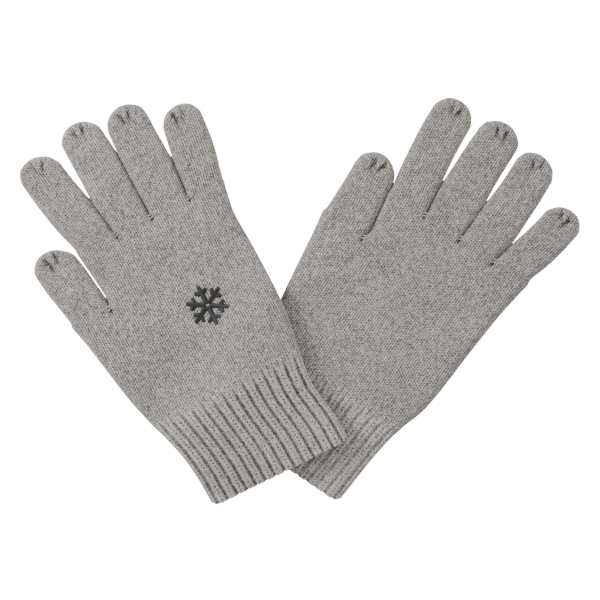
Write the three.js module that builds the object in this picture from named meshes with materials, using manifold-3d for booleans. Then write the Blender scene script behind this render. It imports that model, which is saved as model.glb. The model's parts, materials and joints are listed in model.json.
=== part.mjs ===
// A pair of knitted gloves. The right-hand glove lies back up, with its cuff on top of the cuff of the
// left-hand glove, which lies palm up. Millimetres, +Z up, and the table is the plane z = 0.
// Each glove is drawn in its own flat frame: u runs across it, v runs from the cuff to the fingertips.
import * as THREE from 'three';
import { mergeVertices } from 'three/addons/utils/BufferGeometryUtils.js';
import Module from 'manifold-3d';

const wasm = await Module();
wasm.setup();

// Driving dimensions
const wall = 1.8; // one layer of knit
const gap = 0.3; // clearance between touching pieces
const handThickness = 9.2; // both layers and the hollow between them
const cuffThickness = 9.2;
const fingerThickness = 9;
const weltLength = 4;
const tipFraction = 0.52; // length of a rounded fingertip, as a share of the finger's width
const tieRadius = 1.4;
const tieInset = 6; // from the end of a finger to the middle of its gathered closure
const joinRadius = 1.1;
const joinHeight = 5;
const motifSize = 25;
const motifThickness = 0.9;
const backingSize = 27;
const backingThickness = 0.5;
const rampStart = 3; // how far outside the lower glove the upper one starts to come down
const rampLength = 34;
const stackHeight = handThickness + 0.4;
const sectionPower = 0.5; // how boxy a flattened tube's section is
const flatShare = 1.05; // above 1, the top and bottom of a section are truly flat
const overrun = 2; // how far a cutting solid runs past the face that it opens

// The two gloves. A station of an edge is [v, left u, right u]. A finger's root is the middle of its root
// line, its tip is [u, v], and bow is how far its middle stands sideways from the straight line.
const gloves = {
  left: {
    place: [-5.5, -98.9], turn: -34, sides: 24, palmRows: 8, cuffRows: 4, draped: false,
    weltEnd: 0.6, wrist: 57,
    cuff: [[0.6, -53.9, 33], [20, -51, 34.2], [40, -52, 36], [57, -55.4, 39.6]],
    palm: [[57, -55.4, 39.6], [70, -57.5, 44], [87, -54, 46], [110, -45, 47.4], [135, -38.3, 49.2],
      [150, -40, 51], [166, -42.6, 53.6]],
    gusset: [[60, -56, -8], [75, -59, -12], [93, -62, -18], [116, -65, -28], [135, -68.2, -38.6]],
    thumbLine: 135, fingerLine: 166,
    fingers: {
      index: { root: -30, tip: [-37.1, 233], bow: -1.6, width: [24.4, 26] },
      middle: { root: -5.2, tip: [-7.5, 237], bow: -1, width: [23.4, 25.6] },
      ring: { root: 18.9, tip: [19.1, 233], bow: 1.8, width: [22.8, 24] },
      little: { root: 42, tip: [51, 216], bow: 1.5, width: [22.3, 22.6] },
      thumb: { root: -53.4, tip: [-56.8, 182], bow: 0, width: [28.4, 26] }
    }
  },
  right: {
    place: [-11.9, -97.7], turn: 27, sides: 36, palmRows: 12, cuffRows: 7, draped: true,
    weltEnd: -2.2, wrist: 57,
    cuff: [[-2.2, -43.5, 43.2], [15, -44, 42.4], [35, -47, 38.9], [57, -54.2, 41.5]],
    palm: [[57, -54.2, 41.5], [72, -57, 43.8], [88, -55, 45.2], [106, -50, 45.2], [126.5, -44.5, 44.6],
      [145, -45.6, 43.9], [163, -48, 46.9]],
    gusset: [[60, -55, -12], [75, -59, -18], [93, -62.4, -26], [111, -65.6, -34], [126.5, -69.4, -44.6]],
    thumbLine: 126.5, fingerLine: 163,
    fingers: {
      index: { root: -35.4, tip: [-46.4, 225], bow: -0.9, width: [24.2, 24.9] },
      middle: { root: -11.5, tip: [-15.7, 232], bow: 0, width: [22, 25.6] },
      ring: { root: 12.1, tip: [12.8, 229], bow: 0, width: [23.6, 25.2] },
      little: { root: 35.8, tip: [41.2, 214.6], bow: 0.8, width: [22.4, 23.2] },
      thumb: { root: -57, tip: [-63.8, 172.8], bow: 0.4, width: [24.8, 27] }
    }
  }
};
const motifPlace = [5.8, 103];
const colours = { knit: 0x9c9894, yarn: 0x7d7975, motif: 0x17171a, backing: 0xd8d8d6 };
const material = (colour) => new THREE.MeshStandardMaterial({ color: colour, roughness: 0.95, metalness: 0 });

// --- Placing ---

// Turns a point of a glove's flat frame into the table's frame, and back.
function onTable(glove, u, v) {
  const angle = THREE.MathUtils.degToRad(glove.turn);
  return new THREE.Vector2(u, v).rotateAround(new THREE.Vector2(), angle).add(new THREE.Vector2(...glove.place));
}

function inFlatFrame(glove, x, y) {
  const angle = THREE.MathUtils.degToRad(-glove.turn);
  return new THREE.Vector2(x - glove.place[0], y - glove.place[1]).rotateAround(new THREE.Vector2(), angle);
}

// How high the upper glove is lifted over a point of the table: all the way on top of the lower glove's
// cuff, and down to the table a little way outside it.
function lift(x, y) {
  const lower = gloves.left;
  const { x: u, y: v } = inFlatFrame(lower, x, y);
  const [, cuffLeft] = lower.cuff[0];
  const slant = (lower.gusset[2][1] - cuffLeft) / lower.gusset[2][0];
  const beside = Math.max(0, cuffLeft + slant * Math.max(0, v) - u);
  const below = Math.max(0, lower.weltEnd - v);
  const outside = (Math.hypot(beside, below) - rampStart) / rampLength;
  return stackHeight * (1 - THREE.MathUtils.smoothstep(outside, 0, 1));
}

// A closed geometry drawn in a glove's flat frame, as a solid on the table.
function solidOn(glove, geometry) {
  const position = geometry.attributes.position;
  for (let i = 0; i < position.count; i += 1) {
    const { x, y } = onTable(glove, position.getX(i), position.getY(i));
    const rise = glove.draped ? lift(x, y) : 0;
    position.setXYZ(i, x, y, position.getZ(i) + rise);
  }
  geometry.deleteAttribute('normal');
  geometry.deleteAttribute('uv');
  const merged = mergeVertices(geometry);
  const vertProperties = merged.attributes.position.array;
  const triVerts = new Uint32Array(merged.index.array);
  return new wasm.Manifold(new wasm.Mesh({ numProp: 3, vertProperties, triVerts }));
}

// --- Shapes ---

const boxy = (s) => Math.sign(s) * Math.min(1, flatShare * Math.abs(s) ** sectionPower);

// A flattened tube through stations { v, left, right, low, high }, closed at both ends.
function loft(glove, stations, sides) {
  const rows = stations.length - 1;
  const geometry = new THREE.CylinderGeometry(1, 1, rows, sides, rows);
  const position = geometry.attributes.position;
  for (let i = 0; i < position.count; i += 1) {
    const { v, left, right, low, high } = stations[Math.round(position.getY(i) + rows / 2)];
    const u = (left + right) / 2 + position.getX(i) * (right - left) / 2;
    const z = (low + high) / 2 + boxy(position.getZ(i)) * (high - low) / 2;
    position.setXYZ(i, u, v, z);
  }
  return solidOn(glove, geometry);
}

// Smooth stations through a list of edges, from one v to another.
function smoothStations(edges, rows, thickness, from, to) {
  const spline = new THREE.CatmullRomCurve3(edges.map(([v, left, right]) => new THREE.Vector3(left, v, right)));
  const stations = spline.getPoints(rows).map(({ x, y, z }) => ({ v: y, left: x, right: z, low: 0, high: thickness }));
  stations[0].v = from;
  stations[rows].v = to;
  return stations;
}

// The same stations drawn in by one wall, and run past both of its ends.
function hollow(stations) {
  const inner = stations.map(({ v, left, right, low, high }) => (
    { v, left: left + wall, right: right - wall, low: low + wall, high: high - wall }));
  inner[0].v -= overrun;
  inner[inner.length - 1].v += overrun;
  return inner;
}

// --- Pieces of a glove ---

function cuffShell(glove, from, to) {
  const whole = smoothStations(glove.cuff, glove.cuffRows, cuffThickness, glove.weltEnd, glove.wrist);
  const shell = loft(glove, whole, glove.sides).subtract(loft(glove, hollow(whole), glove.sides));
  const slice = new THREE.BoxGeometry(200, to - from, 100).translate(0, (from + to) / 2, 0);
  return shell.intersect(solidOn({ ...glove, draped: false }, slice));
}

function handShell(glove) {
  const palm = smoothStations(glove.palm, glove.palmRows, handThickness, glove.wrist + gap, glove.fingerLine);
  const gusset = smoothStations(glove.gusset, 5, handThickness, glove.gusset[0][0], glove.thumbLine);
  const gussetHollow = hollow(gusset);
  gussetHollow[0].v += 2 * overrun;
  const outer = loft(glove, palm, glove.sides).add(loft(glove, gusset, 16));
  const palmHollow = loft(glove, hollow(palm), glove.sides);
  return outer.subtract(palmHollow).subtract(loft(glove, gussetHollow, 16));
}

// Where the middle of a finger is across the glove, at a distance v along it.
function fingerMiddle(finger, line, v) {
  const [tipU, tipV] = finger.tip;
  const along = (v - line) / (tipV - line);
  return finger.root + along * (tipU - finger.root) + 4 * along * (1 - along) * finger.bow;
}

function fingerStations(finger, line, inset) {
  const tipV = finger.tip[1];
  const [rootWidth, bellyWidth] = finger.width;
  const cap = tipFraction * bellyWidth;
  const start = line + gap;
  const end = tipV - inset;
  const body = [0, 0.35, 0.7, 1].map((s) => ({ v: start + s * (end - cap - start), squeeze: 1 }));
  const tip = [0.5, 0.8, 0.95, 1].map((s) => ({ v: end - cap + s * cap, squeeze: Math.sqrt(1.02 - s * s) }));
  return [...body, ...tip].map(({ v, squeeze }) => {
    const along = (v - line) / (tipV - line);
    const middle = fingerMiddle(finger, line, v);
    const width = THREE.MathUtils.lerp(rootWidth, bellyWidth, Math.min(1, along * 2));
    const half = (width / 2 - inset) * squeeze;
    const halfDepth = (fingerThickness / 2 - inset) * squeeze ** 0.6;
    const centre = fingerThickness / 2;
    return { v, left: middle - half, right: middle + half, low: centre - halfDepth, high: centre + halfDepth };
  });
}

function fingerShell(glove, finger, line, joins) {
  const outer = loft(glove, fingerStations(finger, line, 0), 14);
  const inner = fingerStations(finger, line, wall);
  inner[0].v -= overrun;
  let shell = outer.subtract(loft(glove, inner, 14));
  const room = 2 * (joinRadius + gap);
  for (const joinU of joins) {
    const notch = new THREE.BoxGeometry(room, 2 * (room + gap), 60).translate(joinU, line, 0);
    shell = shell.subtract(solidOn(glove, notch));
  }
  const tieV = finger.tip[1] - tieInset;
  const hole = new THREE.CylinderGeometry(tieRadius + gap, tieRadius + gap, fingerThickness, 8).rotateX(Math.PI / 2);
  hole.translate(fingerMiddle(finger, line, tieV), tieV, fingerThickness);
  return shell.subtract(solidOn(glove, hole));
}

// A gathered closure: a small knot of yarn in the hole where the end of a finger is drawn together.
function tipTie(glove, finger, line) {
  const half = wall * 0.7;
  const profile = [[0, -half], [tieRadius * 0.7, -half], [tieRadius, 0], [tieRadius * 0.7, half], [0, half]];
  const knot = new THREE.LatheGeometry(profile.map(([x, y]) => new THREE.Vector2(x, y)), 8).rotateX(Math.PI / 2);
  const tieV = finger.tip[1] - tieInset;
  return solidOn(glove, knot.translate(fingerMiddle(finger, line, tieV), tieV, fingerThickness - wall));
}

// A bar of yarn that closes the crotch between two fingers.
function crotchJoin(glove, u, line) {
  const bar = new THREE.CylinderGeometry(joinRadius, joinRadius, joinHeight, 8).rotateX(Math.PI / 2);
  return solidOn(glove, bar.translate(u, line + gap + joinRadius, fingerThickness / 2));
}

// A six-armed snowflake, each arm with a pair of short branches, drawn as one outline and given thickness.
function snowflake(glove, u, v, z) {
  const stem = motifSize * 0.055;
  const reach = motifSize * 0.13;
  const lean = 0.95;
  const outward = new THREE.Vector2(Math.sin(lean), Math.cos(lean)).multiplyScalar(reach);
  const across = new THREE.Vector2(-Math.cos(lean), Math.sin(lean)).multiplyScalar(stem * 1.6);
  const lower = new THREE.Vector2(stem, motifSize * 0.25);
  const side = [
    new THREE.Vector2(stem, stem * Math.sqrt(3)), lower, lower.clone().add(outward),
    lower.clone().add(outward).add(across), new THREE.Vector2(stem, motifSize * 0.38),
    new THREE.Vector2(stem * 0.6, motifSize / 2)
  ];
  const otherSide = side.slice(1).reverse().map((point) => new THREE.Vector2(-point.x, point.y));
  const outline = [];
  for (let turn = 0; turn < 6; turn += 1) {
    const arm = [...side, ...otherSide];
    outline.push(...arm.map((point) => point.clone().rotateAround(new THREE.Vector2(), turn * Math.PI / 3)));
  }
  const flake = new THREE.ExtrudeGeometry(new THREE.Shape(outline), { depth: motifThickness, bevelEnabled: false });
  return solidOn(glove, flake.translate(u, v, z));
}

function crotches(glove) {
  const { index, middle, ring, little, thumb } = glove.fingers;
  const between = (a, b) => ((a.root + a.width[0] / 2) + (b.root - b.width[0] / 2)) / 2;
  return {
    index: between(index, middle),
    middle: between(middle, ring),
    ring: between(ring, little),
    thumb: thumb.root + thumb.width[0] / 2 - joinRadius
  };
}

// --- The pair ---

const pair = new THREE.Group();

function addPiece(name, solid, colour) {
  const faces = solid.getMesh();
  const geometry = new THREE.BufferGeometry();
  geometry.setAttribute('position', new THREE.BufferAttribute(Float32Array.from(faces.vertProperties), 3));
  geometry.setIndex(new THREE.BufferAttribute(Uint32Array.from(faces.triVerts), 1));
  geometry.computeVertexNormals();
  const mesh = new THREE.Mesh(geometry, material(colour));
  mesh.name = name;
  pair.add(mesh);
}

for (const [side, glove] of Object.entries(gloves)) {
  const weltTop = glove.weltEnd + weltLength;
  const joins = crotches(glove);
  addPiece(`${side}_hand`, handShell(glove), colours.knit);
  addPiece(`${side}_cuff`, cuffShell(glove, weltTop + gap, glove.wrist), colours.knit);
  addPiece(`${side}_cuff_welt`, cuffShell(glove, glove.weltEnd, weltTop), colours.knit);
  for (const [name, finger] of Object.entries(glove.fingers)) {
    const isThumb = name === 'thumb';
    const line = isThumb ? glove.thumbLine : glove.fingerLine;
    const nearJoins = isThumb ? [joins.thumb] : [joins.index, joins.middle, joins.ring];
    addPiece(isThumb ? `${side}_thumb` : `${side}_${name}_finger`,
      fingerShell(glove, finger, line, nearJoins), colours.knit);
    addPiece(`${side}_${name}_tip_tie`, tipTie(glove, finger, line), colours.yarn);
  }
  for (const [name, joinU] of Object.entries(joins)) {
    const line = name === 'thumb' ? glove.thumbLine : glove.fingerLine;
    addPiece(`${side}_${name}_crotch_join`, crotchJoin(glove, joinU, line), colours.yarn);
  }
}

const [motifU, motifV] = motifPlace;
addPiece('right_back_motif', snowflake(gloves.right, motifU, motifV, handThickness + gap), colours.motif);
const backingHeight = handThickness - wall - gap - backingThickness / 2;
const backing = new THREE.BoxGeometry(backingSize, backingSize, backingThickness, 3, 3, 1);
backing.translate(motifU, motifV, backingHeight);
addPiece('right_motif_backing', solidOn(gloves.right, backing), colours.backing);

// The origin is under the middle of the pair, on the table.
const middle = new THREE.Box3().setFromObject(pair).getCenter(new THREE.Vector3());
pair.position.set(-middle.x, -middle.y, 0);

export default pair;
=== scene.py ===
"""A pair of knitted gloves lying crossed at the cuffs: the look of the cloth, yarn and embroidery.

Metres, in the frame of the CAD model. Each glove is drawn in its own directions: u runs across it, from
the thumb side to the other, and v runs along it, from the cuff to the fingertips. Every surface is a grid
of stitches: columns are wales and rows are courses.
"""
import json
import math

import bmesh
import bpy
import numpy as np
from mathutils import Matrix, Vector


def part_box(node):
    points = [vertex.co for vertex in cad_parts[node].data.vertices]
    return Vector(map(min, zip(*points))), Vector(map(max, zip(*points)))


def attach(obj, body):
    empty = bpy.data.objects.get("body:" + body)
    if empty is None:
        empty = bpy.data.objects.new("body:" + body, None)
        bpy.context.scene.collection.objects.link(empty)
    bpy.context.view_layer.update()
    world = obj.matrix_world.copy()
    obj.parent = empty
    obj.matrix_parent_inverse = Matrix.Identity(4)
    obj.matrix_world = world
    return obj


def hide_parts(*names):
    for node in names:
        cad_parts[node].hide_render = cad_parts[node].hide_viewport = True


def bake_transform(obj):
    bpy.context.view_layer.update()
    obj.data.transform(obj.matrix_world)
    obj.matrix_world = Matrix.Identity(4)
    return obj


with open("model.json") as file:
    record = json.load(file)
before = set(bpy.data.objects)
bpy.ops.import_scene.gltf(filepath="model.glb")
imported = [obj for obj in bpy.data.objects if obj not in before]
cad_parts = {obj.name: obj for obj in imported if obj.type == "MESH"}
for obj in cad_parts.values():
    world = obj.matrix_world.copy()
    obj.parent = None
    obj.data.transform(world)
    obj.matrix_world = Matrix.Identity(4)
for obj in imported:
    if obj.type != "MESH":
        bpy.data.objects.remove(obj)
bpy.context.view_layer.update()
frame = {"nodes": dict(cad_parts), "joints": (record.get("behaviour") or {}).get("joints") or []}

MM = 0.001

# The knit
WALE = 2.78 * MM  # width of one stitch
COURSE = 1.76 * MM  # height of one stitch
COLUMNS_PER_WALE = 6
ROWS_PER_COURSE = 4
STITCH_DEPTH = 0.42 * MM
PIT_WIDTH = 0.32  # of half a wale
PIT_DEPTH = 0.65  # of the height of a stitch
CUFF_COURSE = 2.1 * MM
RIBS = 15
COLUMNS_PER_RIB = 14
RIB_DEPTH = {"right": 1.6 * MM, "left": 1.1 * MM}
RIB_FADE = 9 * MM  # how far below the wrist the ribs die away
RIB_PIT_WIDTH = 0.2  # of half a rib
RIB_PIT_DEPTH = 1.15  # of the height of a stitch
GROOVE_DIP_AND_SHADE = 0.38  # how much lower the stitches lie in a groove for each mm of its depth, which also puts painted shade in the groove
SPECKLE = 0.25  # the unevenness of single fibres on the ribs, of the height of a stitch
CUFF_WALL = 1.8 * MM
TUCK = 1.2 * MM  # how far the cuff runs up inside the hand
TUCK_INSET = 0.5 * MM  # how much narrower it is there
HEM_CORNER = 4.5 * MM
HEM_LOW = 1.3 * MM  # how far the knit hem hangs below the CAD welt

# The shape of the tubes
EDGE_ROLL = 5 * MM  # how far in from a side edge the cloth is still rounding over
FINGER_ROLL = 4.6 * MM
FULLNESS = 0.35 * MM  # the cloth's fuzz, beyond the CAD outline
OUTER_EASE = {"right": (0.8 * MM, 0), "left": (0, 0.8 * MM)}  # a little more at each glove's outer edge
FINGER_EASE = {  # the same for each finger's two edges
    "right": {"index": (1.3 * MM, 0), "middle": (0.4 * MM, 0), "ring": (0.3 * MM, 0), "little": (0, 1.3 * MM),
              "thumb": (0.7 * MM, -0.5 * MM)},
    "left": {"index": (-0.3 * MM, 0), "middle": (0, 0.8 * MM), "ring": (0, 1 * MM), "little": (0, 0.9 * MM),
             "thumb": (0, 0)},
}
HALF_DEPTH = 4.35 * MM
TIP_LENGTH = 0.5  # of a finger's width: the rounded outline at its end
ROOT_OPENING = 4.5 * MM  # the length over which a finger parts from its neighbours
TABLE_CLEARANCE = 0.15 * MM
SAG = 0.16 * MM

# The drape of the upper glove over the lower one
RAMP_START = 3 * MM
RAMP_LENGTH = 34 * MM

# Where a finger is gathered, and where two fingers meet
GATHER_PIT = 2.1 * MM
GATHER_SPREAD = 2.3 * MM  # from the middle of a gather to the pit on each side of it
SLIT_DEPTH = 1.6 * MM

# How far up from the bottom of each gap the two fingers beside it still touch
TOUCHING = {
    "right": {"thumb": 5 * MM, "index": 24 * MM, "middle": 40 * MM, "ring": 25 * MM},
    "left": {"thumb": 34 * MM, "index": 21 * MM, "middle": 24 * MM, "ring": 12 * MM},
}
TOUCH_FADE = 24 * MM
TOUCH_OVERLAP = 0.25 * MM
TOUCH_PRESS = 0.8 * MM  # how far a finger's edge is pressed under its neighbour
# painted shade along a finger's side where it touches its neighbour: how far the relief kept for colour is
# lowered there
TOUCH_PAINTED_SHADE = 0.5

SIDES = ("left", "right")
FINGERS = ("index", "middle", "ring", "little")
UPPER = "right"
LOWER = "left"

# Closing yarn
YARN_WIDTH = 0.75 * MM
CROTCH_STITCH = (  # across the glove, along it and down from its face, in mm
    (-1.5, -1.8, -1.3), (-0.9, -1.5, -0.7), (0.9, -1.1, -0.7), (1.5, -0.6, -1.2), (0.9, -0.2, -2),
    (-0.9, -0.4, -2), (-1.4, 0, -1.3), (-0.8, 0.4, -0.9), (0.8, 0.7, -0.9), (1.3, 1.1, -1.8),
)

# The embroidery: a snowflake of satin stitch on a backing cloth
MOTIF_SIZE = 25 * MM
THREAD = 0.42 * MM
SATIN_HEIGHT = 0.75 * MM
SATIN_SUNK = 0.25 * MM
SATIN_SKIRT = 0.5 * MM  # how far the sides of a bar reach down into the knit
BACKING_DEPTHS = (1.9 * MM, 2.4 * MM)  # of its two faces, below the face of the glove


# --- Curves through a few measured places ---

def smooth(t):
    t = np.clip(t, 0, 1)
    return t * t * (3 - 2 * t)


class Curve:
    """A smooth function through places: values against v, a straight run beyond both ends."""

    def __init__(self, places, values):
        self.v = np.asarray(places, float)
        self.y = np.asarray(values, float)
        self.slope = np.gradient(self.y, self.v)

    def __call__(self, v):
        v = np.asarray(v, float)
        i = np.clip(np.searchsorted(self.v, v) - 1, 0, len(self.v) - 2)
        v0, v1 = self.v[i], self.v[i + 1]
        span = v1 - v0
        t = np.clip((v - v0) / span, 0, 1)
        y0, y1 = self.y[i], self.y[i + 1]
        m0, m1 = self.slope[i] * span, self.slope[i + 1] * span
        inside = (
            (2 * t**3 - 3 * t**2 + 1) * y0 + (t**3 - 2 * t**2 + t) * m0
            + (3 * t**2 - 2 * t**3) * y1 + (t**3 - t**2) * m1
        )
        before = np.minimum(v - self.v[0], 0) * self.slope[0]
        after = np.maximum(v - self.v[-1], 0) * self.slope[-1]
        return inside + before + after


# --- The gloves, measured from the CAD nodes ---

def joint(name):
    return next(j for j in frame["joints"] if j["name"] == name)


def node_mesh(name):
    mesh = frame["nodes"][name].data
    points = np.empty(len(mesh.vertices) * 3)
    mesh.vertices.foreach_get("co", points)
    edges = np.empty(len(mesh.edges) * 2, int)
    mesh.edges.foreach_get("vertices", edges)
    return points.reshape(-1, 3), edges.reshape(-1, 2)


class Glove:
    """One glove's directions, lines and outlines."""

    def __init__(self, side):
        self.side = side
        self.raised = side == UPPER
        fold = joint(f"{side}_middle_fold")
        self.across = np.array(fold["axis"], float)
        self.along = np.array([-self.across[1], self.across[0], 0])
        self.finger_line = float(np.dot(fold["pos_m"], self.along))
        self.thumb_line = float(np.dot(joint(f"{side}_thumb_fold")["pos_m"], self.along))
        self.wrist = self.reach(f"{side}_cuff")[1]
        self.cuff_end = self.reach(f"{side}_cuff_welt")[0]
        self.welt_top = self.reach(f"{side}_cuff_welt")[1]
        hand, cuff = f"{side}_hand", f"{side}_cuff"
        clear = 1 * MM
        ease = OUTER_EASE[side]
        self.base_left, self.base_right = self.edges(
            hand, self.wrist + clear, self.thumb_line - clear, 7, ease)
        self.palm_left, self.palm_right = self.edges(
            hand, self.thumb_line + clear, self.finger_line - clear, 5, (0, ease[1]))
        self.cuff_left, self.cuff_right = self.edges(
            cuff, self.welt_top + clear, self.wrist - clear, 6, ease)
        self.crotch = {name: self.middle_of(f"{side}_{name}_crotch_join")[0]
                       for name in ("index", "middle", "ring", "thumb")}
        self.fingers = {name: self.finger_outline(name) for name in FINGERS + ("thumb",)}

    def finger_node(self, name):
        return f"{self.side}_thumb" if name == "thumb" else f"{self.side}_{name}_finger"

    def finger_outline(self, name):
        """A finger's root line, tip, shoulder where its end begins, and its two edges up to there."""
        node = self.finger_node(name)
        line = self.thumb_line if name == "thumb" else self.finger_line
        tip = self.reach(node)[1] + FULLNESS
        low, high = self.width_at(node, line + 6 * MM)
        shoulder = tip - TIP_LENGTH * (high - low)
        return line, tip, shoulder, self.edges(node, line + 5 * MM, shoulder - 1 * MM, 5)

    def touch(self, gap_name, v):
        """How far the finger on each side of a gap is spread towards the other, at each v."""
        line, _, _, (_, own_right) = self.fingers[gap_name]
        if gap_name == "thumb":
            beyond = np.where(v < self.finger_line, self.palm_left(v), self.fingers["index"][3][0](v))
            share = 1.0
        else:
            beyond = self.fingers[FINGERS[FINGERS.index(gap_name) + 1]][3][0](v)
            share = 0.5
        past = (v - line - TOUCHING[self.side][gap_name]) / TOUCH_FADE
        spread = np.maximum(beyond - own_right(v), 0) * share + TOUCH_OVERLAP * (1 - smooth(past * 6))
        return spread * np.clip(1 - past, 0, 1) ** 2, 1 - smooth(past * 4)

    def flat(self, points):
        return points @ self.across, points @ self.along

    def reach(self, node):
        points, _ = node_mesh(node)
        _, v = self.flat(points)
        return float(v.min()), float(v.max())

    def middle_of(self, node):
        low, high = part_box(node)
        u, v = self.flat(np.array((low + high) / 2)[None])
        return float(u[0]), float(v[0])

    def width_at(self, node, v):
        """Lowest and highest u where a CAD node crosses the line at v."""
        points, edges = node_mesh(node)
        pu, pv = self.flat(points)
        a, b = edges[:, 0], edges[:, 1]
        crossing = (pv[a] - v) * (pv[b] - v) < 0
        a, b = a[crossing], b[crossing]
        t = (v - pv[a]) / (pv[b] - pv[a])
        u = pu[a] + t * (pu[b] - pu[a])
        return float(u.min()), float(u.max())

    def edges(self, node, start, end, count, ease=(0, 0)):
        """A node's left and right edges, as curves between two lines across the glove."""
        places = np.linspace(start, end, count)
        sides = np.array([self.width_at(node, v) for v in places])
        low, high = ease
        return Curve(places, sides[:, 0] - FULLNESS - low), Curve(places, sides[:, 1] + FULLNESS + high)


gloves = {side: Glove(side) for side in SIDES}
stack_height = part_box(f"{UPPER}_cuff")[1].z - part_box(f"{LOWER}_cuff")[1].z


def lift(x, y):
    """How high the upper glove is raised over a point of the table."""
    lower = gloves[LOWER]
    u = x * lower.across[0] + y * lower.across[1]
    v = x * lower.along[0] + y * lower.along[1]
    edge = np.where(v < lower.wrist, lower.cuff_left(np.maximum(v, lower.cuff_end)), lower.base_left(v))
    beside = np.maximum(0, edge - u)
    below = np.maximum(0, lower.cuff_end - v)
    outside = (np.hypot(beside, below) - RAMP_START) / RAMP_LENGTH
    return stack_height * (1 - smooth(outside))


# --- Tubes of cloth ---

def section(place, left, right, roll, half_depth):
    """Lays columns round the upper half of a flattened tube. place is where each column would be on flat
    cloth; it gives back where it is across the tube, and how far up its half depth."""
    roll = np.minimum(roll, (right - left) / 2)
    quarter = math.pi / 2 * np.sqrt((roll**2 + half_depth**2) / 2)
    from_left = place - left + quarter - roll
    from_right = right - place + quarter - roll
    near_left = from_left <= from_right
    reach = np.clip(np.where(near_left, from_left, from_right), 0, quarter)
    angle = np.divide(reach, quarter, out=np.zeros_like(place), where=quarter > 1e-9) * math.pi / 2
    rolled = roll * (1 - np.cos(angle))
    at_edge = np.where(near_left, left + rolled, right - rolled)
    on_top = (from_left > quarter) & (from_right > quarter)
    return np.where(on_top, place, at_edge), np.where(on_top, 1.0, np.sin(angle))


def grain(course, wale):
    """A number from 0 to 1 for each stitch, the same every time."""
    return (np.sin(course * 12.9898 + wale * 78.233) * 43758.5453) % 1


def stitch_relief(t, s):
    """Height of a stocking stitch, 0 in its pits and 1 on its crests. t counts courses and s wales."""
    aside = np.abs(s % 1 - 0.5) * 2
    slanted = t - 0.75 * aside
    leg = 1 - 0.72 * np.abs(2 * aside - 1) ** 3
    bar = 1 - 0.35 * np.cos(math.pi * slanted) ** 4
    uneven = grain(np.floor(slanted), np.floor(2 * s))
    middle_pit = np.exp(-((aside / PIT_WIDTH) ** 2)) * np.cos(math.pi * t) ** 4
    middle_pit = middle_pit * grain(np.round(t), np.floor(s) + 7)
    side_pit = np.exp(-(((1 - aside) / PIT_WIDTH) ** 2)) * np.sin(math.pi * t) ** 4
    side_pit = side_pit * grain(np.floor(t) + 5, np.round(s))
    return np.clip(leg * bar * (1 - 0.4 * uneven) - PIT_DEPTH * (middle_pit + side_pit), 0, 1)


def lattice_relief(rows, columns, row_phase, column_phase):
    """The same for every row and column of a lattice of stitches."""
    t = (np.arange(rows) + row_phase)[:, None] / ROWS_PER_COURSE
    s = (np.arange(columns) + column_phase)[None, :] / COLUMNS_PER_WALE
    return stitch_relief(t, s)


def rib_relief(t, s):
    """The same for a rib of two legs with a line of pits between. s counts ribs, from groove to groove."""
    aside = np.abs(s % 1 - 0.5) * 2
    slanted = t - 1.1 * aside
    leg = 1 - 0.35 * np.clip(np.abs(aside - 0.38) / 0.38, 0, 1) ** 4
    bar = 1 - 0.4 * np.cos(math.pi * slanted) ** 4
    uneven = grain(np.floor(slanted), np.floor(2 * s))
    pit = np.exp(-((aside / RIB_PIT_WIDTH) ** 2)) * np.cos(math.pi * t) ** 2
    pit = pit * (0.35 + 0.65 * grain(np.round(t), np.floor(s)))
    return np.clip(1.4 * leg * bar * (1 - 0.45 * uneven) - RIB_PIT_DEPTH * pit, 0, 1)


def sag(u, v):
    """Slow rise and fall of cloth that was laid down by hand."""
    waves = np.sin(u * 71 + 1.3 * np.sin(v * 39)) + np.sin(v * 83 + u * 47 + 0.8) + np.sin(u * 148 - v * 61)
    return SAG * (waves + 1.5)


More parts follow.
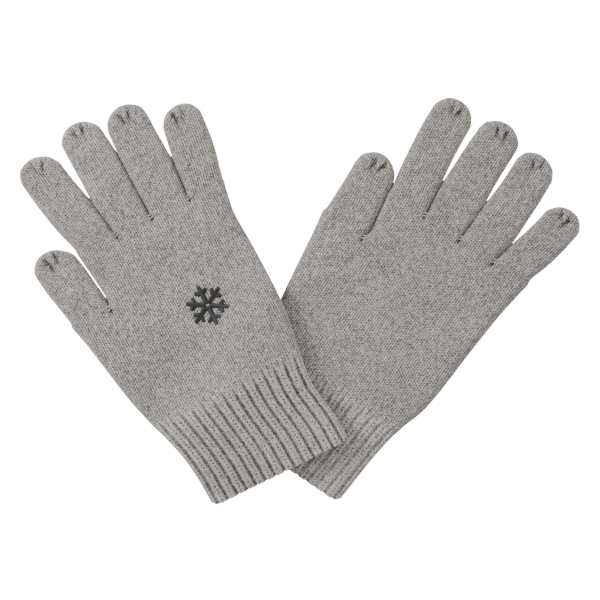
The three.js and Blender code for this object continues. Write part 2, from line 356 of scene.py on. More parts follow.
class Tube:
    """Two sheets of cloth, an upper and a lower, that meet at the side edges."""

    def __init__(self, glove, v, place, left, right, relief, roll=EDGE_ROLL, inset=None, root=None,
                 tip_scale=None, rib=0, dent=None, hem_shape=None, contact=(0, 0)):
        rows, columns = place.shape
        inset = np.zeros(rows) if inset is None else inset
        tip_scale = np.ones(rows) if tip_scale is None else tip_scale
        left = (left + inset)[:, None] * np.ones((1, columns))
        right = (right - inset)[:, None] * np.ones((1, columns))
        half_depth = (HALF_DEPTH - inset)[:, None]
        u, rise = section(place, left, right, roll, half_depth)
        v = v[:, None] * np.ones((1, columns))
        if root is not None:
            parted, root_u, root_rise = root
            u = root_u + (u - root_u) * parted[:, None]
            rise = root_rise + (rise - root_rise) * parted[:, None]
        rise = rise * tip_scale[:, None]
        if hem_shape is not None:
            v = v + hem_shape(u, left, right)
        self.sheets, self.reliefs_with_painted_shade = [], []
        for up in (1, -1):
            depth = half_depth * rise
            if up > 0:
                depth = depth - sag(u, v) * smooth(rise)
            pressed = np.zeros_like(u) if dent is None else dent(u, v, up)
            under = np.exp(-(((right - u) / (1.9 * MM)) ** 2)) * contact[1]
            pressed = pressed + TOUCH_PRESS * under
            depth = np.maximum(depth - pressed - rib * smooth(rise / 0.6), 0)
            near = np.where(u < (left + right) / 2, contact[0], contact[1])
            # Painted shade: the relief kept for colour is lowered in dents, creases and slits, and along a
            # finger's side where it touches its neighbour, so that the knit material darkens them there
            self.reliefs_with_painted_shade.append(relief * (1 - 0.7 * smooth(pressed / (1.9 * MM)))
                                * (1 - TOUCH_PAINTED_SHADE * near * (1 - smooth((rise - 0.2) / 0.4))))
            middle = HALF_DEPTH + TABLE_CLEARANCE
            z = middle + up * depth
            x = u * glove.across[0] + v * glove.along[0]
            y = u * glove.across[1] + v * glove.along[1]
            if glove.raised:
                z = z + lift(x, y)
            self.sheets.append(self.stitched(np.stack([x, y, z], axis=-1), up, rise, relief))
        moved = np.abs(np.diff(self.sheets[0], axis=1)).max(axis=-1) > 1e-8
        first = np.concatenate([np.ones((rows, 1), bool), moved], axis=1)
        self.same = np.maximum.accumulate(np.where(first, np.arange(columns)[None, :], 0), axis=1)

    @staticmethod
    def stitched(points, up, rise, relief):
        """Presses the stitches into a sheet along its normals."""
        down_rows = np.gradient(points, axis=0)
        along_columns = np.gradient(points, axis=1)
        normal = np.cross(along_columns, down_rows) * up
        length = np.linalg.norm(normal, axis=-1, keepdims=True)
        normal = np.divide(normal, length, out=np.zeros_like(normal), where=length > 1e-14)
        depth = STITCH_DEPTH * (1 - relief)
        at_side = 0.25 + 0.75 * smooth(rise / 0.5)
        return points - normal * (depth * at_side)[..., None]


def faces_of(same, offset, flip):
    """Quads and triangles of one sheet, where columns that lie on top of each other count as one."""
    rows, columns = same.shape
    number = same + np.arange(rows)[:, None] * columns + offset
    corners = [number[:-1, :-1], number[:-1, 1:], number[1:, 1:], number[1:, :-1]]
    quads = np.stack([c.ravel() for c in (corners[::-1] if flip else corners)], axis=1)
    low_same = quads[:, 0] == quads[:, 1]
    high_same = quads[:, 2] == quads[:, 3]
    whole = quads[~low_same & ~high_same]
    low_fans = quads[low_same & ~high_same][:, [0, 2, 3]]
    high_fans = quads[high_same & ~low_same][:, [0, 1, 2]]
    return whole, np.concatenate([low_fans, high_fans])


def thinned(same):
    """Leaves out every second column between the side edges."""
    odd = (np.arange(same.shape[1]) % 2 == 1)[None, :]
    before = np.roll(same, 1, axis=1)
    between = (before != same[:, :1]) & (same != same[:, -1:])
    return np.where(odd & between, before, same)


def build(name, tubes, thin_underside=False):
    """One mesh from several tubes. Rows and columns that meet are joined."""
    points, quads, fans, relief, flat = [], [], [], [], []
    offset = 0
    for index, tube in enumerate(tubes):
        rows, columns = tube.same.shape
        side_columns = tube.same[:, [0, -1]] + np.arange(rows)[:, None] * columns
        starts = []
        for face, sheet in enumerate(tube.sheets):
            starts.append(offset)
            same = thinned(tube.same) if thin_underside and face == 1 else tube.same
            whole, fan = faces_of(same, offset, flip=face == 1)
            points.append(sheet.reshape(-1, 3))
            relief.append(tube.reliefs_with_painted_shade[face].ravel())
            j, i = np.meshgrid(np.linspace(0.01, 0.99, columns), np.linspace(0.01, 0.99, rows))
            flat.append(np.stack([(2 * index + face + j) / (2 * len(tubes)), i], axis=-1).reshape(-1, 2))
            quads.append(whole)
            fans.append(fan)
            offset += sheet.shape[0] * sheet.shape[1]
        for side in (0, 1):
            top = side_columns[:, side] + starts[0]
            bottom = side_columns[:, side] + starts[1]
            strip = [top[:-1], top[1:], bottom[1:], bottom[:-1]]
            quads.append(np.stack(strip if side == 0 else strip[::-1], axis=1))
    points, quads, fans = np.concatenate(points), np.concatenate(quads), np.concatenate(fans)
    used, numbers = np.unique(np.concatenate([quads.ravel(), fans.ravel()]), return_inverse=True)
    points, relief, flat = points[used], np.concatenate(relief)[used], np.concatenate(flat)[used]
    mesh = bpy.data.meshes.new(name)
    mesh.vertices.add(len(points))
    mesh.vertices.foreach_set("co", points.ravel())
    mesh.loops.add(len(numbers))
    mesh.loops.foreach_set("vertex_index", numbers)
    mesh.polygons.add(len(quads) + len(fans))
    starts = np.concatenate([np.arange(len(quads)) * 4, len(quads) * 4 + np.arange(len(fans)) * 3])
    mesh.polygons.foreach_set("loop_start", starts)
    mesh.update(calc_edges=True)
    # The relief is kept on the mesh for the knit material, which paints shade where it is low
    mesh.attributes.new("relief", "FLOAT", "POINT").data.foreach_set("value", relief.astype(np.float32))
    layer = mesh.uv_layers.new(name="OFBake")
    layer.uv.foreach_set("vector", flat[numbers].astype(np.float32).ravel())
    edit = bmesh.new()
    edit.from_mesh(mesh)
    bmesh.ops.remove_doubles(edit, verts=edit.verts, dist=1e-6)
    bmesh.ops.dissolve_degenerate(edit, edges=edit.edges, dist=1e-7)
    edit.to_mesh(mesh)
    edit.free()
    mesh.shade_smooth()
    piece = bpy.data.objects.new(name, mesh)
    bpy.context.scene.collection.objects.link(piece)
    return piece


# --- Knitted pieces ---

def course_rows(start, end):
    """Places of the rows of knit from one line to another."""
    count = max(2, round((end - start) / COURSE * ROWS_PER_COURSE)) + 1
    return np.linspace(start, end, count)


def wale_columns(low, high):
    """Columns on one lattice for the whole glove, so that wales run on from the hand into the fingers."""
    step = WALE / COLUMNS_PER_WALE
    first, last = math.floor(low / step), math.ceil(high / step)
    numbers = np.arange(first, last + 1)
    return numbers * step, numbers


def crotch_dent(glove):
    """The pull of the stitches that close the bottom of each gap between fingers."""
    def dent(u, v, up):
        depth = np.zeros_like(u)
        for name, place in glove.crotch.items():
            line = glove.thumb_line if name == "thumb" else glove.finger_line
            du, dv = u - place, v - line
            slit = np.exp(-((du / (0.75 * MM)) ** 2)) * np.exp(-((dv / (2.6 * MM)) ** 2))
            hollow = 0.35 * np.exp(-(du**2 + (dv + 1 * MM) ** 2) / (2.6 * MM) ** 2)
            # the slit and hollow are real dents, and Tube also paints shade into them from this depth
            depth += SLIT_DEPTH * (slit + hollow)
        return depth
    return dent


def overhang(roll=EDGE_ROLL):
    """How much more cloth there is round a side edge than its width seen from above."""
    return math.pi / 2 * math.sqrt((roll**2 + HALF_DEPTH**2) / 2) - roll


def knit_hand(glove):
    low = glove.base_left(glove.thumb_line) - overhang() - WALE
    high = float(glove.palm_right(glove.finger_line)) + overhang() + 3 * WALE
    places, numbers = wale_columns(min(float(low), float(glove.base_left(glove.wrist)) - 3 * WALE), high)
    base_v = course_rows(glove.wrist, glove.thumb_line)
    base_place = np.ones((len(base_v), 1)) * places[None, :]
    dent = crotch_dent(glove)
    base = Tube(glove, base_v, base_place, glove.base_left(base_v), glove.base_right(base_v),
                lattice_relief(len(base_v), len(places), 2, numbers[0] % COLUMNS_PER_WALE), dent=dent)
    palm_v = course_rows(glove.thumb_line, glove.finger_line)
    palm_place = np.ones((len(palm_v), 1)) * places[None, :]
    root = root_section(glove, glove.thumb_line, palm_v, places, glove.crotch["thumb"], math.inf,
                        glove.base_left, glove.base_right)
    palm = Tube(glove, palm_v, palm_place, glove.palm_left(palm_v), glove.palm_right(palm_v),
                lattice_relief(len(palm_v), len(places), len(base_v) + 1, numbers[0] % COLUMNS_PER_WALE),
                root=root, dent=dent)
    return build(f"{glove.side}_hand_knit", [base, palm], thin_underside=True)


def root_section(glove, line, v, places, low, high, left, right):
    """Where a finger's columns are on the line where it leaves the hand, and how far it has parted."""
    kept = np.clip(places, low, high)[None, :]
    one = np.ones_like(kept)
    root_u, root_rise = section(kept, left(line) * one, right(line) * one, EDGE_ROLL, HALF_DEPTH)
    return smooth((v - line) / ROOT_OPENING), root_u, root_rise


def tip_rows(line, tip):
    """Rows of a finger, closer together in v where the cloth turns down at the tip."""
    roll = 6 * MM
    quarter = math.pi / 2 * math.sqrt((roll**2 + HALF_DEPTH**2) / 2)
    length = tip - line + quarter - roll
    t = course_rows(0, length)
    left_over = np.clip((length - t) / quarter, 0, 1) * math.pi / 2
    v = np.where(length - t > quarter, line + t, tip - roll * (1 - np.cos(left_over)))
    return v, np.sin(left_over)


def gather_dent(middle_u, middle_v, seed):
    """Where a fingertip is drawn together: two pits with creases running from them, on its upper side."""
    creases = []
    for pit, side in enumerate((-1, 1)):
        pit_u = middle_u + side * GATHER_SPREAD * (0.8 + 0.4 * grain(seed, pit))
        pit_v = middle_v + 1.6 * MM * (grain(seed, pit + 3) - 0.5)
        strength = 0.55 + 0.45 * grain(seed + 2, pit)
        for turn, reach in ((-95, 6), (15, 3.2), (75, 4.6)):
            angle = math.radians(turn + 40 * (grain(seed + turn, pit) - 0.5))
            length = reach * MM * (0.6 + 0.6 * grain(seed + pit, turn))
            creases.append((pit_u, pit_v, side * math.cos(angle), math.sin(angle), length, strength))

    def dent(u, v, up):
        if up < 0:
            return np.zeros_like(u)
        # a broad shallow hollow below the gather; like the creases, its depth is also painted as shade in
        # Tube
        below = np.hypot((u - middle_u) / (4.5 * MM), (v - middle_v + 3.5 * MM) / (4 * MM))
        depth = 0.34 * np.exp(-(below**2))
        for pit_u, pit_v, out_u, out_v, length, strength in creases:
            du, dv = u - pit_u, v - pit_v
            forward = du * out_u + dv * out_v
            aside = du * out_v - dv * out_u
            width = 0.85 * MM + 0.1 * np.clip(forward, 0, 6 * MM)
            run = np.where(forward > 0, forward / length, forward / (0.8 * MM))
            depth = np.maximum(depth, strength * np.exp(-((aside / width) ** 2) - run**2))
        return GATHER_PIT * depth
    return dent


def knit_finger(glove, name):
    thumb = name == "thumb"
    node = glove.finger_node(name)
    line, tip, shoulder, (left, right) = glove.fingers[name]
    crotch = glove.crotch
    low, high = {
        "index": (-math.inf, crotch["index"]), "middle": (crotch["index"], crotch["middle"]),
        "ring": (crotch["middle"], crotch["ring"]), "little": (crotch["ring"], math.inf),
        "thumb": (-math.inf, crotch["thumb"]),
    }[name]
    points, _ = node_mesh(node)
    pu, pv = glove.flat(points)
    tip_u = float(pu[pv > tip - 1 * MM].mean())
    v, tip_scale = tip_rows(line, tip)
    cap = tip - shoulder
    middle_shoulder = float(left(shoulder) + right(shoulder)) / 2
    past = np.clip((v - shoulder) / cap, 0, 1)
    half_shoulder = float(right(shoulder) - left(shoulder)) / 2
    in_cap = middle_shoulder + (tip_u - middle_shoulder) * past
    middle = np.where(v < shoulder, (left(v) + right(v)) / 2, in_cap)
    half = np.where(v < shoulder, (right(v) - left(v)) / 2, half_shoulder)
    seed = SIDES.index(glove.side) * 5 + (FINGERS + ("thumb",)).index(name)
    pleat = 0.035 * past * np.sin(9 * past + 4 * seed)
    grown = smooth((v - line) / (25 * MM))
    ease_left, ease_right = FINGER_EASE[glove.side][name]
    middle = middle + (ease_right - ease_left) / 2 * grown
    half = half + (ease_right + ease_left) / 2 * grown
    half = half * np.sqrt(np.clip(1 - past**2, 0, 1)) * (1 + pleat)
    root_middle = float(left(line) + right(line)) / 2
    reach = float(half.max()) + overhang() + WALE
    places, numbers = wale_columns(root_middle - reach, root_middle + reach)
    place = places[None, :] + (middle - root_middle)[:, None]
    own_left = glove.base_left if thumb else glove.palm_left
    own_right = glove.base_right if thumb else glove.palm_right
    root = root_section(glove, line, v, places, low, high, own_left, own_right)
    gather_u, gather_v = glove.middle_of(f"{glove.side}_{name}_tip_tie")
    gather = gather_dent(gather_u, gather_v, seed)
    crotches = crotch_dent(glove)
    spread_right = touch_right = np.zeros_like(v)
    if name != "little":
        spread_right, touch_right = glove.touch(name, v)
    spread_left = touch_left = np.zeros_like(v)
    if name in FINGERS[1:]:
        spread_left, touch_left = glove.touch(FINGERS[FINGERS.index(name) - 1], v)
    rows_below = len(course_rows(glove.wrist, glove.thumb_line)) + 1
    if not thumb:
        rows_below += len(course_rows(glove.thumb_line, glove.finger_line)) - 1
    relief = lattice_relief(len(v), len(places), rows_below, numbers[0] % COLUMNS_PER_WALE)
    tube = Tube(glove, v, place, middle - half - spread_left, middle + half + spread_right, relief,
                roll=FINGER_ROLL, root=root, tip_scale=tip_scale,
                dent=lambda u, w, up: gather(u, w, up) + crotches(u, w, up),
                contact=(touch_left[:, None], touch_right[:, None]))
    piece = build(f"{node}_knit", [tube])
    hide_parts(node)
    return piece, node, line


def knit_cuff(glove):
    """The ribbed cuff: its inner face, the round of its hem and its outer face, in one run of rows."""
    lip = CUFF_WALL / 2
    hem = glove.cuff_end - HEM_LOW
    top = glove.wrist + TUCK
    step = CUFF_COURSE / ROWS_PER_COURSE
    inner_v = np.linspace(top, hem + lip, round((top - hem - lip) / step / 2) + 1)
    turn = np.linspace(0, math.pi, 8)[1:-1]
    lip_v = hem + lip - lip * np.sin(turn)
    outer_v = np.linspace(hem + lip, top, round((top - hem - lip) / step) + 1)
    v = np.concatenate([inner_v, lip_v, outer_v])
    inner_inset, lip_inset = np.full(len(inner_v), CUFF_WALL), lip + lip * np.cos(turn)
    inset = np.concatenate([inner_inset, lip_inset, np.zeros(len(outer_v))])
    inset = inset + TUCK_INSET * smooth((v - glove.wrist) / TUCK) * (inset < lip)
    left, right = glove.cuff_left(v), glove.cuff_right(v)
    s = np.linspace(0, RIBS, RIBS * COLUMNS_PER_RIB + 1)[None, :]
    t = ((v - hem) / CUFF_COURSE)[:, None]
    round_edge = np.minimum(EDGE_ROLL, (right - left) / 2 - inset)
    extra = math.pi / 2 * np.sqrt((round_edge**2 + (HALF_DEPTH - inset) ** 2) / 2) - round_edge
    low, high = (left + inset - extra)[:, None], (right - inset + extra)[:, None]
    place = low + (high - low) * s / RIBS
    aside = np.abs(s % 1 - 0.5) * 2
    uneven_end = 3.5 * MM * grain(np.round(s), 11)
    fade = smooth((glove.wrist - v[:, None] - uneven_end * 0.6) / RIB_FADE)
    outside = (inset < lip)[:, None]
    groove = smooth((aside - 0.5) / 0.46)
    crown = 0.25 * aside**2
    lining = smooth(inset / CUFF_WALL)[:, None]
    depth = RIB_DEPTH[glove.side]
    rib = depth * ((1 - lining) * (groove + crown) / 1.25 * fade + 1.1 * lining)
    fibres = grain(np.arange(len(v))[:, None], 1.7 * np.arange(s.size)[None, :])
    # Painted shade in the grooves between ribs: the lowered relief is darkened by the knit material, besides
    # lowering the stitches a little
    ribbed = rib_relief(t, s) * (1 - GROOVE_DIP_AND_SHADE * depth / MM * groove) + SPECKLE * (fibres - 0.4)
    plain = stitch_relief((v[:, None] - glove.wrist) / COURSE, 2 * s)
    relief = np.where(outside, np.clip(plain + (ribbed - plain) * fade, 0, 1), 0.55)

    def hem_shape(u, left_edge, right_edge):
        near = smooth(1 - (v[:, None] - hem) / (14 * MM))
        inward = np.clip(1 - np.minimum(u - left_edge, right_edge - u) / HEM_CORNER, 0, 1)
        scallop = 0.45 * MM * aside**2 * smooth(1 - (v[:, None] - hem) / (3 * MM))
        return HEM_CORNER * (1 - np.sqrt(1 - inward**2)) * near + scallop

    tube = Tube(glove, v, place, left, right, relief, inset=inset, rib=rib, hem_shape=hem_shape)
    return build(f"{glove.side}_cuff_knit", [tube])


# --- Yarn and thread ---

def mesh_object(name, points, faces):
    mesh = bpy.data.meshes.new(name)
    mesh.from_pydata(points, [], faces)
    mesh.shade_smooth()
    piece = bpy.data.objects.new(name, mesh)
    bpy.context.scene.collection.objects.link(piece)
    return piece


def yarn(name, path, thickness):
    """A length of yarn along a path of points, its plies showing as a twist."""
    path = np.asarray(path, float)
    length = np.concatenate([[0], np.cumsum(np.linalg.norm(np.diff(path, axis=0), axis=1))])
    along = np.linspace(0, length[-1], max(8, int(length[-1] / (0.22 * MM))))
    line = np.stack([np.interp(along, length, path[:, i]) for i in range(3)], axis=1)
    forward = np.gradient(line, axis=0)
    forward /= np.linalg.norm(forward, axis=1)[:, None]
    side = np.cross(forward, [0.31, 0.17, 0.93])
    side /= np.linalg.norm(side, axis=1)[:, None]
    up = np.cross(side, forward)
    sides = 12
    angle = np.arange(sides) * 2 * math.pi / sides
    twist = np.abs(np.cos(1.5 * angle[None, :] + along[:, None] / (0.55 * MM)))
    end = np.sqrt(np.clip(np.minimum(along, along[::-1]) / (0.4 * MM), 0.04, 1))
    radius = thickness / 2 * (0.78 + 0.22 * twist) * end[:, None]
    ring = (side[:, None] * np.cos(angle)[None, :, None] + up[:, None] * np.sin(angle)[None, :, None])
    points = (line[:, None] + ring * radius[..., None]).reshape(-1, 3)
    faces = []
    for i in range(len(line) - 1):
        for j in range(sides):
            k = (j + 1) % sides
            faces.append((i * sides + j, i * sides + k, (i + 1) * sides + k, (i + 1) * sides + j))
    faces.append(tuple(reversed(range(sides))))
    faces.append(tuple((len(line) - 1) * sides + j for j in range(sides)))
    return mesh_object(name, [tuple(p) for p in points], faces)


def top_of(glove, u, v):
    """A point on the upper face of a glove, away from its edges."""
    x = u * glove.across[0] + v * glove.along[0]
    y = u * glove.across[1] + v * glove.along[1]
    z = 2 * HALF_DEPTH + TABLE_CLEARANCE - sag(u, v)
    if glove.raised:
        z = z + lift(x, y)
    return np.stack([x, y, z], axis=-1)


def tip_knot(glove, name):
    """The drawn-up end of the yarn that closes a fingertip: a small three-looped knot in the gather."""
    node = f"{glove.side}_{name}_tip_tie"
    u, v = glove.middle_of(node)
    a = np.linspace(0, 2 * math.pi, 60)
    size = 0.62 * MM
    loop_u = size * (np.sin(a) + 1.1 * np.sin(2 * a))
    loop_v = size * (np.cos(a) - 1.1 * np.cos(2 * a))
    middle = top_of(glove, np.array(u), np.array(v))
    loop_z = -0.75 * MM - 0.3 * MM * np.sin(3 * a)
    points = [middle + glove.across * du + glove.along * dv + np.array([0, 0, dz])
              for du, dv, dz in zip(loop_u, loop_v, loop_z)]
    knot = yarn(f"{node}_yarn", points, YARN_WIDTH)
    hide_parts(node)
    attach(knot, f"{glove.side}_thumb" if name == "thumb" else f"{glove.side}_{name}_finger")
    return knot


def crotch_stitches(glove, name):
    """Two stitches of yarn across the bottom of the gap between two fingers."""
    node = f"{glove.side}_{name}_crotch_join"
    u, v = glove.middle_of(node)
    path = []
    for du, dv, dz in CROTCH_STITCH:
        place = top_of(glove, np.array(u + du * MM), np.array(v + dv * MM))
        path.append(place + np.array([0, 0, dz * MM]))
    stitches = yarn(f"{node}_yarn", path, YARN_WIDTH)
    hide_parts(node)
    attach(stitches, f"{glove.side}_glove")
    return stitches


def rim_of(rows, columns):
    """The numbers of the points round the edge of a grid, in order."""
    rim = list(range(columns))
    rim += [i * columns + columns - 1 for i in range(1, rows)]
    rim += [(rows - 1) * columns + j for j in range(columns - 2, -1, -1)]
    rim += [i * columns for i in range(rows - 2, 0, -1)]
    return rim


def satin(glove):
    """The snowflake on the back of the upper glove, each bar packed with threads laid across it."""
    node = "right_back_motif"
    middle_u, middle_v = glove.middle_of(node)
    stem = MOTIF_SIZE * 0.064
    bars = []
    for turn in range(6):
        angle = math.pi / 2 + turn * math.pi / 3
        out = np.array([math.cos(angle), math.sin(angle)])
        aside = np.array([-out[1], out[0]])
        bars.append((out * stem * 0.6, out * MOTIF_SIZE / 2, stem, stem * 0.75))
        for sign in (1, -1):
            start = out * MOTIF_SIZE * 0.285 + sign * aside * stem * 0.35
            branch = out * math.cos(0.95) + sign * aside * math.sin(0.95)
            bars.append((start, start + branch * MOTIF_SIZE * 0.16, stem * 0.85, stem * 0.7))
    points, faces = [], []
    for number, (start, end, wide, narrow) in enumerate(bars):
        length = float(np.hypot(*(end - start)))
        direction = (end - start) / length
        normal = np.array([-direction[1], direction[0]])
        rows = int(length / THREAD * 6)
        t = np.linspace(0, length, rows)[:, None]
        x = np.linspace(-1, 1, 11)[None, :]
        ragged = 0.09 * MM * np.sin(np.floor(t / THREAD) * 2.3 + number * 1.7)
        end_round = np.sqrt(np.clip(np.minimum(t, length - t) / (0.7 * MM), 0, 1) * 0.9 + 0.1)
        half = (wide + (narrow - wide) * t / length + ragged) * end_round
        ridge = np.abs(np.sin(math.pi * (t + 0.3 * MM * x) / THREAD))
        height = SATIN_HEIGHT * (1 - x**4) ** 0.5 * end_round * (0.78 + 0.22 * ridge)
        height = height * (1 - 0.02 * (number % 3))
        u = middle_u + start[0] + direction[0] * t + normal[0] * half * x
        v = middle_v + start[1] + direction[1] * t + normal[1] * half * x
        surface = top_of(glove, u, v)
        surface[..., 2] += height - SATIN_SUNK
        first = len(points)
        columns = x.shape[1]
        points.extend(tuple(p) for p in surface.reshape(-1, 3))
        for i in range(rows - 1):
            for j in range(columns - 1):
                a = first + i * columns + j
                faces.append((a, a + columns, a + columns + 1, a + 1))
        rim = [first + k for k in rim_of(rows, columns)]
        base = len(points)
        for k in rim:
            x0, y0, z0 = points[k]
            points.append((x0, y0, z0 - SATIN_SKIRT))
        for k in range(len(rim)):
            n = (k + 1) % len(rim)
            faces.append((rim[k], rim[n], base + n, base + k))
        faces.append(tuple(base + k for k in range(len(rim))))
    motif = mesh_object("right_back_motif_satin", points, faces)
    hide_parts(node)
    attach(motif, "right_glove")
    return motif


def backing_sheet(glove):
    """The soft backing under the embroidery, inside the glove against its upper wall."""
    middle_u, middle_v = glove.middle_of("right_back_motif")
    half = MOTIF_SIZE / 2 + 1 * MM
    steps = np.linspace(-half, half, 28)
    u, v = np.meshgrid(middle_u + steps, middle_v + steps)
    sheets = [top_of(glove, u, v) - np.array([0, 0, depth]) for depth in BACKING_DEPTHS]
    count = len(steps)
    points = [tuple(p) for sheet in sheets for p in sheet.reshape(-1, 3)]
    below = count * count
    faces = []
    for i in range(count - 1):
        for j in range(count - 1):
            a = i * count + j
            faces.append((a, a + 1, a + count + 1, a + count))
            faces.append((below + a, below + a + count, below + a + count + 1, below + a + 1))
    rim = rim_of(count, count)
    for k in range(len(rim)):
        n = (k + 1) % len(rim)
        faces.append((rim[n], rim[k], below + rim[k], below + rim[n]))
    sheet = mesh_object("right_motif_backing_cloth", points, faces)
    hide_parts("right_motif_backing")
    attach(sheet, "right_glove")
    return sheet


# --- Materials ---

def group(name, inputs, outputs):
    """A node group with named sockets. Sockets are (name, kind, value)."""
    tree = bpy.data.node_groups.new(name, "ShaderNodeTree")
    for socket, kind, value in inputs:
        made = tree.interface.new_socket(socket, in_out="INPUT", socket_type=kind)
        if value is not None:
            made.default_value = value
    for socket, kind in outputs:
        tree.interface.new_socket(socket, in_out="OUTPUT", socket_type=kind)
    return tree


def add(tree, kind, **values):
    """A node with its properties and its inputs set by name or number."""
    made = tree.nodes.new(kind)
    for key, value in values.items():
        if key.startswith("in_"):
            slot = key[3:]
            slot = int(slot) if slot.isdigit() else slot.replace("_", " ")
            if isinstance(value, bpy.types.NodeSocket):
                tree.links.new(value, made.inputs[slot])
            else:
                made.inputs[slot].default_value = value
        else:
            setattr(made, key, value)
    return made


def math_node(tree, operation, a, b=0.0):
    return add(tree, "ShaderNodeMath", operation=operation, in_0=a, in_1=b).outputs[0]


def marl_group():
    """Marled wool: light and dark fibres mixed in the yarn, with painted shade down in the pits of the
    stitches, where the relief is low.
    """
    tree = group("marled_yarn_and_pit_shade",
                 [("Light Fibre", "NodeSocketColor", (0.5, 0.48, 0.46, 1)),
                  ("Dark Fibre", "NodeSocketColor", (0.2, 0.19, 0.18, 1)),
                  ("Relief", "NodeSocketFloat", 1.0), ("Pit Shade", "NodeSocketFloat", 0.35)],
                 [("Color", "NodeSocketColor"), ("Fibre Height", "NodeSocketFloat")])
    source = add(tree, "NodeGroupInput")
    place = add(tree, "ShaderNodeTexCoord").outputs["Object"]
    speck = add(tree, "ShaderNodeTexNoise", in_Vector=place, in_Scale=1250.0, in_Detail=2.0,
                in_Roughness=0.8)
    patch = add(tree, "ShaderNodeTexNoise", in_Vector=place, in_Scale=400.0, in_Detail=1.0)
    broad = add(tree, "ShaderNodeTexNoise", in_Vector=place, in_Scale=34.0, in_Detail=1.0)
    mixed = math_node(tree, "ADD", math_node(tree, "MULTIPLY", speck.outputs[0], 0.88),
                      math_node(tree, "MULTIPLY", patch.outputs[0], 0.12))
    share = add(tree, "ShaderNodeMapRange", in_Value=mixed)
    share.inputs["From Min"].default_value = 0.38
    share.inputs["From Max"].default_value = 0.62
    fibre = add(tree, "ShaderNodeMix", data_type="RGBA", in_0=share.outputs[0])
    tree.links.new(source.outputs["Dark Fibre"], fibre.inputs[6])
    tree.links.new(source.outputs["Light Fibre"], fibre.inputs[7])
    # Painted shade: low relief, in the pits of the stitches and wherever the relief was lowered for shade,
    # darkens the colour down to Pit Shade
    pit = add(tree, "ShaderNodeMapRange", interpolation_type="SMOOTHSTEP",
              in_Value=source.outputs["Relief"])
    pit.inputs["From Min"].default_value = 0.0
    pit.inputs["From Max"].default_value = 0.7
    tree.links.new(source.outputs["Pit Shade"], pit.inputs["To Min"])
    drift = add(tree, "ShaderNodeMapRange", in_Value=broad.outputs[0])
    drift.inputs["From Min"].default_value = 0.3
    drift.inputs["From Max"].default_value = 0.7
    drift.inputs["To Min"].default_value = 0.93
    drift.inputs["To Max"].default_value = 1.07
    shade = math_node(tree, "MULTIPLY", pit.outputs[0], drift.outputs[0])
    shaded = add(tree, "ShaderNodeVectorMath", operation="SCALE", in_0=fibre.outputs[2])
    tree.links.new(shade, shaded.inputs["Scale"])
    height = add(tree, "ShaderNodeTexNoise", in_Vector=place, in_Scale=3200.0, in_Detail=2.0)
    out = add(tree, "NodeGroupOutput")
    tree.links.new(shaded.outputs[0], out.inputs["Color"])
    tree.links.new(height.outputs[0], out.inputs["Fibre Height"])
    return tree


def empty_material(name):
    material = bpy.data.materials.new(name)
    material.use_nodes = True
    return material, material.node_tree, material.node_tree.nodes["Principled BSDF"]


def knit_look(name, marl, light, dark, pit_shade, has_relief=True):
    material, tree, shader = empty_material(name)
    yarn_look = add(tree, "ShaderNodeGroup", node_tree=marl)
    yarn_look.inputs["Light Fibre"].default_value = light
    yarn_look.inputs["Dark Fibre"].default_value = dark
    yarn_look.inputs["Pit Shade"].default_value = pit_shade
    if has_relief:
        # the relief on the mesh gives the painted shade in the pits, creases and grooves
        relief = add(tree, "ShaderNodeAttribute", attribute_name="relief")
        tree.links.new(relief.outputs["Fac"], yarn_look.inputs["Relief"])
    tree.links.new(yarn_look.outputs["Color"], shader.inputs["Base Color"])
    bump = add(tree, "ShaderNodeBump", in_Strength=0.5, in_Distance=0.12 * MM,
               in_Height=yarn_look.outputs["Fibre Height"])
    tree.links.new(bump.outputs[0], shader.inputs["Normal"])
    shader.inputs["Roughness"].default_value = 0.92
    shader.inputs["Specular IOR Level"].default_value = 0.25
    shader.inputs["Sheen Weight"].default_value = 0.9
    shader.inputs["Sheen Roughness"].default_value = 0.4
    return material


def plain_look(name, colour, roughness, sheen=0.0):
    material, tree, shader = empty_material(name)
    shader.inputs["Base Color"].default_value = colour
    shader.inputs["Roughness"].default_value = roughness
    shader.inputs["Sheen Weight"].default_value = sheen
    return material


marl = marl_group()
LIGHT_FIBRE = (0.62, 0.575, 0.53, 1)
DARK_FIBRE = (0.15, 0.138, 0.127, 1)
knit_material = knit_look("grey_marl_knit", marl, LIGHT_FIBRE, DARK_FIBRE, 0.12)
yarn_material = knit_look("grey_marl_yarn", marl, LIGHT_FIBRE, DARK_FIBRE, 0.3, has_relief=False)
motif_material = plain_look("black_satin_thread", (0.006, 0.006, 0.007, 1), 0.5)
backing_material = plain_look("embroidery_backing", (0.62, 0.61, 0.59, 1), 0.9)


# --- The two gloves ---

def dress(piece, material):
    piece.data.materials.append(material)


def bend_at(piece):
    """Bakes a piece's placement into its mesh, leaving it attached to no body."""
    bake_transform(piece)


for glove in gloves.values():
    body = f"{glove.side}_glove"
    hand = knit_hand(glove)
    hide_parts(f"{glove.side}_hand")
    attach(hand, body)
    dress(hand, knit_material)
    cuff = knit_cuff(glove)
    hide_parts(f"{glove.side}_cuff", f"{glove.side}_cuff_welt")
    if glove.raised:
        bend_at(cuff)
    else:
        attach(cuff, body)
    dress(cuff, knit_material)
    for name in FINGERS + ("thumb",):
        piece, node, line = knit_finger(glove, name)
        bend_at(piece)
        dress(piece, knit_material)
        dress(tip_knot(glove, name), yarn_material)
    for name in glove.crotch:
        dress(crotch_stitches(glove, name), yarn_material)
dress(satin(gloves[UPPER]), motif_material)
dress(backing_sheet(gloves[UPPER]), backing_material)


# --- Table, light and camera ---

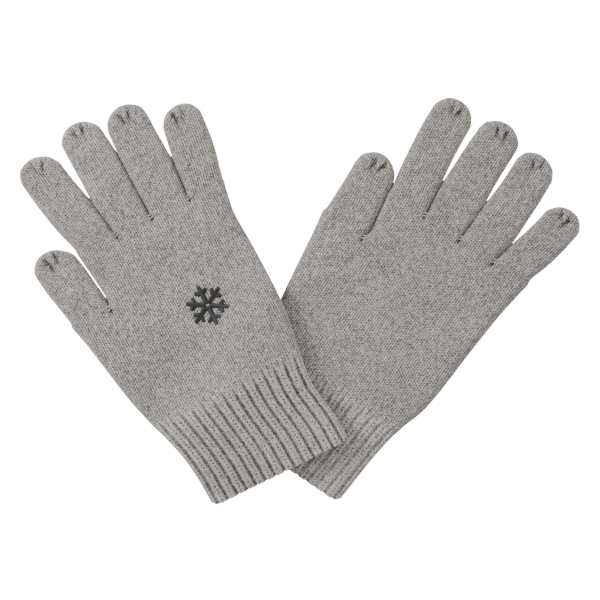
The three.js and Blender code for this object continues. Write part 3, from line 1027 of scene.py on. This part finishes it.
TABLE_HALF = 20
TABLE_DROP = 0.3 * MM
TABLE_GLOW = 16.0  # only for what the camera sees, so that the table is plain white
WORLD_STRENGTH = 0.745
VIEW_WIDTH = 0.348
VIEW_MIDDLE = (-0.0001, 0.0009)
FACE_HEIGHT = 0.009  # the height at which the view is exactly that wide
LENS = 180
SENSOR = 36

corners = [(-TABLE_HALF, -TABLE_HALF, 0), (TABLE_HALF, -TABLE_HALF, 0),
           (TABLE_HALF, TABLE_HALF, 0), (-TABLE_HALF, TABLE_HALF, 0)]
table_mesh = bpy.data.meshes.new("table_top")
table_mesh.from_pydata(corners, [], [(0, 1, 2, 3)])
table_top = bpy.data.objects.new("table_top", table_mesh)
table_top.location.z = -TABLE_DROP
bpy.context.scene.collection.objects.link(table_top)
table_material = plain_look("white_table", (0.82, 0.82, 0.82, 1), 0.9)
table_shader = table_material.node_tree.nodes["Principled BSDF"]
table_shader.inputs["Emission Color"].default_value = (1, 1, 1, 1)
seen = add(table_material.node_tree, "ShaderNodeLightPath").outputs["Is Camera Ray"]
glow = math_node(table_material.node_tree, "MULTIPLY", seen, TABLE_GLOW)
table_material.node_tree.links.new(glow, table_shader.inputs["Emission Strength"])
table_top.data.materials.append(table_material)

world = bpy.data.worlds.new("studio")
bpy.context.scene.world = world
world.use_nodes = True
background = world.node_tree.nodes["Background"]
background.inputs["Color"].default_value = (1, 1, 1, 1)
background.inputs["Strength"].default_value = WORLD_STRENGTH


def softbox(name, place, size, power):
    light = bpy.data.lights.new(name, "AREA")
    light.size = size
    light.energy = power
    lamp = bpy.data.objects.new(name, light)
    lamp.location = place
    lamp.rotation_euler = (-Vector(place)).to_track_quat("-Z", "Y").to_euler()
    bpy.context.scene.collection.objects.link(lamp)


softbox("key_softbox", (-0.9, 0.4, 0.55), 0.4, 14)
softbox("fill_softbox", (0.9, 0.8, 0.5), 0.8, 7.5)

camera_data = bpy.data.cameras.new("camera")
camera_data.lens = LENS
camera_data.sensor_width = SENSOR
camera = bpy.data.objects.new("camera", camera_data)
camera.location = (*VIEW_MIDDLE, VIEW_WIDTH * LENS / SENSOR + FACE_HEIGHT)
bpy.context.scene.collection.objects.link(camera)
bpy.context.scene.camera = camera

bpy.context.view_layer.update()
